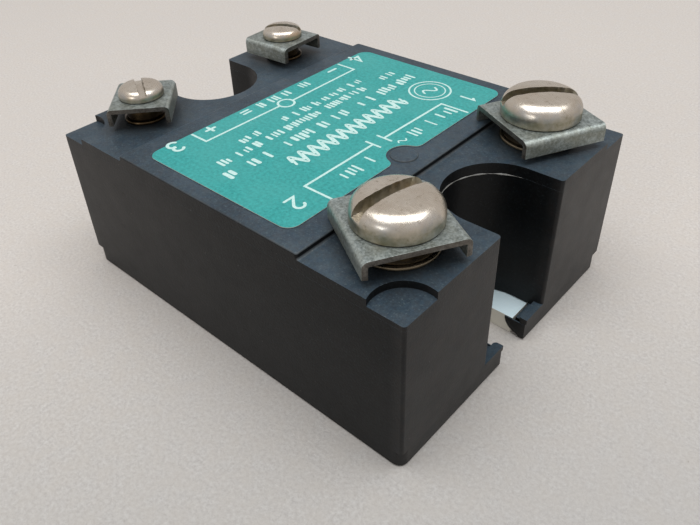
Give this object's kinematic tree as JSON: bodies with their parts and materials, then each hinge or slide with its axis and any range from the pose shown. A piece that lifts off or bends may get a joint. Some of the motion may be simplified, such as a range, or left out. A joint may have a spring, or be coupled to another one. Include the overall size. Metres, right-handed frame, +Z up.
{
  "type": "solid state relay",
  "caption": "Panel-mount solid state relay: moulded case with U-shaped end slots on a metal base, screw terminals with folded wire clamps, and a printed label on the raised middle.",
  "frame": {"origin": "under the middle of the base, on the plane the metal base plate rests on", "axes": "+X towards the end with load terminals 1 and 2, +Y towards terminals 1 and 4, +Z up out of the labelled top"},
  "size_m": [0.0584, 0.0456, 0.0287],
  "materials": {
    "plate": "milled, lightly oxidised",
    "case": "fine-textured moulded thermoplastic",
    "case_top": "satin moulded thermoplastic",
    "label": "printed film label with a satin over-laminate",
    "nickel": "nickel plating, turned and tumbled",
    "zinc": "zinc-plated pressed steel",
    "brass": "turned",
    "copper": "bare copper sheet",
    "tinned": "tin-plated wire",
    "ceramic": "matt alumina",
    "silicon": "passivated silicon",
    "gel": "soft clear silicone",
    "board": "solder-masked glass-epoxy laminate",
    "epoxy": "moulded epoxy",
    "resistor": "conformal lacquer",
    "capacitor": "dipped epoxy"
  },
  "bodies": {
    "relay": {"base_plate": "plate", "housing": "case", "lid": "case_top", "label": "label", "terminal_insert_1": "brass", "terminal_insert_2": "brass", "terminal_insert_3": "brass", "control_pin_3": "tinned", "terminal_insert_4": "brass", "control_pin_4": "tinned", "ceramic_substrate": "ceramic", "copper_pad_1": "copper", "thyristor_chip_1": "silicon", "cathode_clip_1": "copper", "load_strap_1": "copper", "gate_pin_1": "tinned", "copper_pad_2": "copper", "thyristor_chip_2": "silicon", "cathode_clip_2": "copper", "load_strap_2": "copper", "gate_pin_2": "tinned", "silicone_gel": "gel", "circuit_board": "board", "optocoupler": "epoxy", "input_resistor": "resistor", "current_limit_transistor": "epoxy", "gate_resistor": "resistor", "snubber_resistor": "resistor", "snubber_capacitor": "capacitor"},
    "clamp_1": {"wire_clamp_1": "zinc"},
    "clamp_2": {"wire_clamp_2": "zinc"},
    "clamp_3": {"wire_clamp_3": "zinc"},
    "clamp_4": {"wire_clamp_4": "zinc"},
    "screw_1": {"terminal_screw_1": "nickel"},
    "screw_2": {"terminal_screw_2": "nickel"},
    "screw_3": {"terminal_screw_3": "nickel"},
    "screw_4": {"terminal_screw_4": "nickel"}
  },
  "joints": [
    {"name": "lift_1", "type": "slide", "parent": "relay", "child": "clamp_1", "axis": [0, 0, 1], "range_m": [0, 0.004]},
    {"name": "turn_1", "type": "hinge", "parent": "clamp_1", "child": "screw_1", "pos_m": [0.0215, 0.01425, 0.0255], "axis": [0, 0, 1], "range_deg": [0, 1800]},
    {"name": "lift_2", "type": "slide", "parent": "relay", "child": "clamp_2", "axis": [0, 0, 1], "range_m": [0, 0.004]},
    {"name": "turn_2", "type": "hinge", "parent": "clamp_2", "child": "screw_2", "pos_m": [0.0215, -0.01425, 0.0255], "axis": [0, 0, 1], "range_deg": [0, 1800]},
    {"name": "lift_3", "type": "slide", "parent": "relay", "child": "clamp_3", "axis": [0, 0, 1], "range_m": [0, 0.003]},
    {"name": "turn_3", "type": "hinge", "parent": "clamp_3", "child": "screw_3", "pos_m": [-0.0232, -0.0134, 0.0256], "axis": [0, 0, 1], "range_deg": [0, 1800]},
    {"name": "lift_4", "type": "slide", "parent": "relay", "child": "clamp_4", "axis": [0, 0, 1], "range_m": [0, 0.003]},
    {"name": "turn_4", "type": "hinge", "parent": "clamp_4", "child": "screw_4", "pos_m": [-0.0232, 0.0134, 0.0256], "axis": [0, 0, 1], "range_deg": [0, 1800]}
  ],
  "couplings": [
    {"joint": "turn_1", "follows": "lift_1", "rad_per_m": 7853.9},
    {"joint": "turn_2", "follows": "lift_2", "rad_per_m": 7853.9},
    {"joint": "turn_3", "follows": "lift_3", "rad_per_m": 10472},
    {"joint": "turn_4", "follows": "lift_4", "rad_per_m": 10472}
  ]
}
